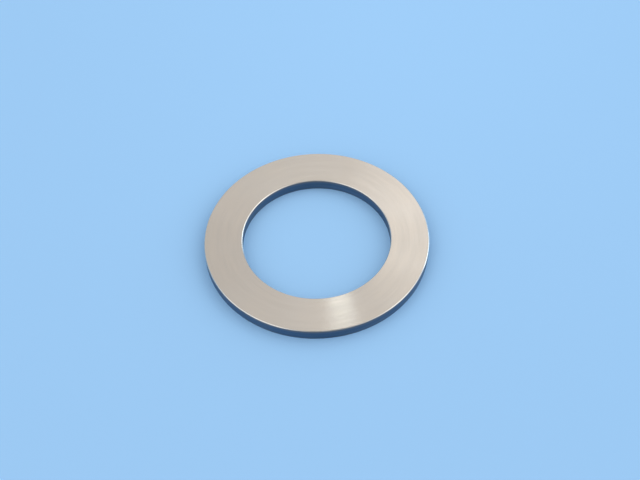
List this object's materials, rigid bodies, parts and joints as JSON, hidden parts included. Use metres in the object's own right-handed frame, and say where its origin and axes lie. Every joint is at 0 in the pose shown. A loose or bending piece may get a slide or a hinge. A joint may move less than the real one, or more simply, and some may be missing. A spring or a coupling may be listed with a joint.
{
  "type": "bearing shim",
  "caption": "Flat ground steel ring that slips over a shaft beside a bearing and sets its axial position or preload.",
  "frame": {"origin": "centre of the lower ground face, on the bore's axis", "axes": "+Z along the bore's axis, from the lower ground face to the upper one; the ring is the same all round, so X and Y are free"},
  "size_m": [0.053, 0.053, 0.003],
  "materials": {
    "ground_steel": "faces ground to a warm satin with the lay running round the bore; bore and rim as turned and hardened, a darker blue-grey; edge breaks bright"
  },
  "bodies": {
    "root": {"shim_ring": "ground_steel"}
  },
  "joints": []
}
